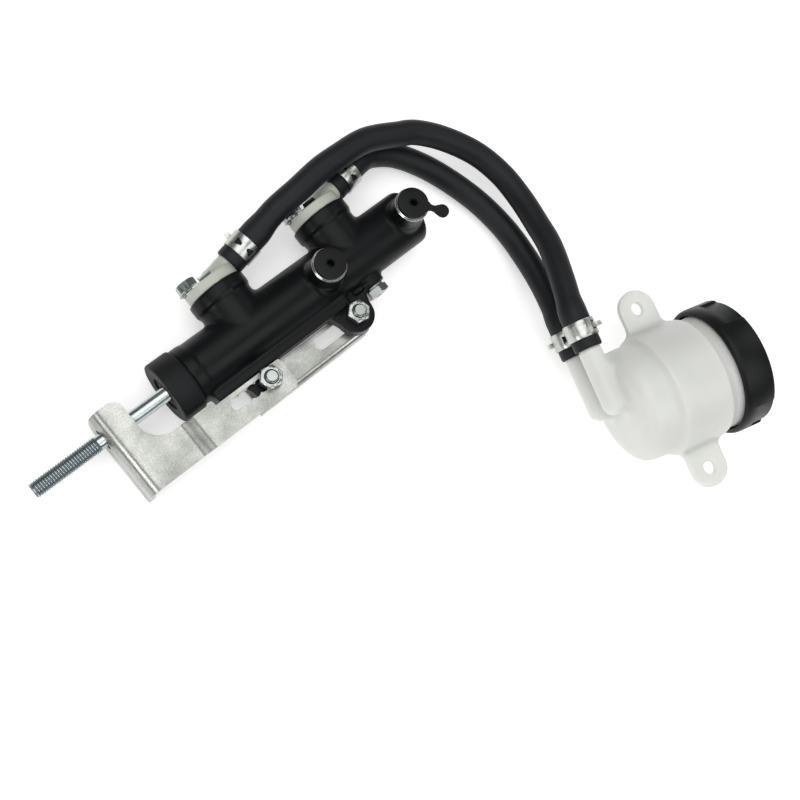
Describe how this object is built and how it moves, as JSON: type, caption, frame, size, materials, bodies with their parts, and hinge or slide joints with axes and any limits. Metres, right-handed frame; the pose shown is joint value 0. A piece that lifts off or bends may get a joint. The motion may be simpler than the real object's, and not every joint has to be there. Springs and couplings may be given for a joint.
{
  "type": "brake master cylinder",
  "caption": "Tandem hydraulic brake master cylinder with pushrod, adjusting bracket, two feed hoses and a remote fluid reservoir with a screw cap.",
  "frame": {"origin": "free end of the pushrod, on the bore axis, at rest", "axes": "+X along the bore from the pushrod tip to the closed end, +Y towards the two inlets, +Z towards the two outlet ports and up from the bench that the assembly lies on"},
  "size_m": [0.3074, 0.2443, 0.0678],
  "materials": {
    "cast_black": "matt black paint on a cast body",
    "cover_rubber": "matt",
    "spring_steel": "plain",
    "seal_rubber": "matt",
    "white_nylon": "satin, slightly cloudy",
    "zinc_plate": "bright zinc plated",
    "hose_rubber": "satin",
    "alloy_washer": "plain",
    "piston_alloy": "hard anodised",
    "plug_black": "satin",
    "hdpe": "translucent, satin",
    "cap_black": "satin"
  },
  "bodies": {
    "root": {"cylinder_body": "cast_black", "dust_cover": "cover_rubber", "circlip": "spring_steel", "stop_washer": "spring_steel", "inlet_seals": "seal_rubber", "primary_connector": "white_nylon", "secondary_connector": "white_nylon", "retaining_strips": "zinc_plate", "connector_bolts": "zinc_plate", "primary_hose": "hose_rubber", "secondary_hose": "hose_rubber", "cylinder_clamps": "zinc_plate", "reservoir_clamps": "zinc_plate", "stop_screw": "zinc_plate", "stop_screw_washer": "alloy_washer", "bracket_front": "zinc_plate", "bracket_rear": "zinc_plate", "mount_bolts": "zinc_plate", "mount_nuts": "zinc_plate", "secondary_spring": "spring_steel", "reservoir_body": "hdpe"},
    "primary_piston": {"primary_piston": "piston_alloy", "primary_cup": "seal_rubber", "primary_rear_seal": "seal_rubber"},
    "pushrod": {"pushrod": "zinc_plate"},
    "secondary_piston": {"secondary_piston": "piston_alloy", "secondary_front_cup": "seal_rubber", "secondary_rear_cup": "seal_rubber", "primary_spring": "spring_steel"},
    "primary_port_plug": {"primary_port_plug": "plug_black"},
    "secondary_port_plug": {"secondary_port_plug": "plug_black"},
    "cap_seal": {"cap_plate": "cap_black", "diaphragm": "seal_rubber"},
    "reservoir_cap": {"reservoir_cap": "cap_black"}
  },
  "joints": [
    {"name": "primary_stroke", "type": "slide", "parent": "root", "child": "primary_piston", "axis": [1, 0, 0], "range_m": [0, 0.016], "stiffness_N_per_m": 1500, "springref_m": -0.01, "deforming": ["primary_spring"]},
    {"name": "pushrod_turn", "type": "hinge", "parent": "primary_piston", "child": "pushrod", "pos_m": [0.0832, 0, 0], "axis": [1, 0, 0], "continuous": true},
    {"name": "secondary_stroke", "type": "slide", "parent": "root", "child": "secondary_piston", "axis": [1, 0, 0], "range_m": [0, 0.008], "deforming": ["secondary_spring"]},
    {"name": "primary_plug_pull", "type": "slide", "parent": "root", "child": "primary_port_plug", "axis": [0, 0, 1], "range_m": [0, 0.014]},
    {"name": "secondary_plug_pull", "type": "slide", "parent": "root", "child": "secondary_port_plug", "axis": [0, 0, 1], "range_m": [0, 0.014]},
    {"name": "cap_lift", "type": "slide", "parent": "root", "child": "cap_seal", "axis": [0.9576, -0.2746, 0.0872], "range_m": [0, 0.006]},
    {"name": "cap_turn", "type": "hinge", "parent": "cap_seal", "child": "reservoir_cap", "pos_m": [0.2638, -0.1468, 0.01662], "axis": [0.9576, -0.2746, 0.0872], "range_deg": [0, 720]}
  ],
  "couplings": [
    {"joint": "secondary_stroke", "follows": "primary_stroke", "ratio": 0.5},
    {"joint": "cap_turn", "follows": "cap_lift", "rad_per_m": 2094.4}
  ]
}
